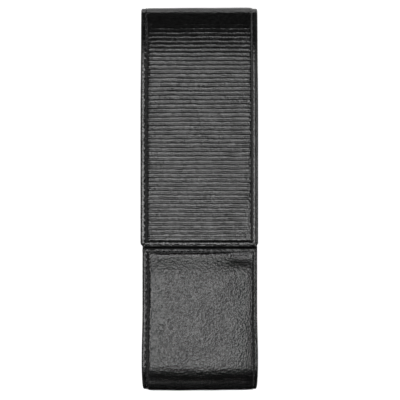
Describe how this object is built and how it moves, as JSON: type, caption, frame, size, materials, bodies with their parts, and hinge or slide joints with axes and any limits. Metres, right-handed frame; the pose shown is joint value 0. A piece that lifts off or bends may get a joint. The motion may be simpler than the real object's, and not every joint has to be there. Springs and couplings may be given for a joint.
{
  "type": "fountain pen case",
  "caption": "Slim upright leather case for two pens, with a long ribbed flap that folds over the top and closes flush above a smooth padded front pocket.",
  "frame": {"origin": "middle of the back face's bounding box, on the surface the case lies on", "axes": "+Z out of the front face, +Y along the case towards the folded top, +X across it"},
  "size_m": [0.049, 0.16, 0.023],
  "materials": {
    "black_leather": "semi-gloss smooth nappa",
    "ribbed_leather": "semi-gloss nappa pressed into fine ribs",
    "suede_lining": "matte napped microfibre suede",
    "stiffener_board": "raw pressed board",
    "foam": "matte foam sheet",
    "magnet": "nickel plate",
    "thread": "waxed twisted thread"
  },
  "bodies": {
    "pocket": {"outer_leather": "black_leather", "facing_padding": "foam", "facing_board": "stiffener_board", "bottom_stay": "stiffener_board", "back_padding": "foam", "back_board": "stiffener_board", "pocket_leather": "black_leather", "wall_board": "stiffener_board", "catch_magnets": "magnet", "wall_lining": "suede_lining", "pocket_lining": "suede_lining", "left_gusset": "black_leather", "right_gusset": "black_leather", "pen_divider": "suede_lining", "left_seam_thread": "thread", "right_seam_thread": "thread", "mouth_seam_thread": "thread", "wall_seam_thread": "thread"},
    "bridge": {"back_fold_leather": "black_leather", "back_fold_lining": "suede_lining", "bridge_leather": "black_leather", "bridge_stay": "stiffener_board", "bridge_lining": "suede_lining", "bridge_seam_thread": "thread"},
    "flap": {"front_fold_leather": "black_leather", "front_fold_lining": "suede_lining", "flap_leather": "ribbed_leather", "flap_padding": "foam", "flap_board": "stiffener_board", "flap_lining": "suede_lining", "flap_magnets": "magnet", "flap_seam_thread": "thread"}
  },
  "joints": [
    {"name": "top_fold", "type": "hinge", "parent": "pocket", "child": "bridge", "pos_m": [0, 0.07914, 0.00086], "axis": [-1, 0, 0], "range_deg": [0, 90], "deforming": ["back_fold_leather", "back_fold_lining"]},
    {"name": "flap_fold", "type": "hinge", "parent": "bridge", "child": "flap", "pos_m": [0, 0.07949, 0.01816], "axis": [-1, 0, 0], "range_deg": [0, 70], "deforming": ["front_fold_leather", "front_fold_lining"]}
  ]
}
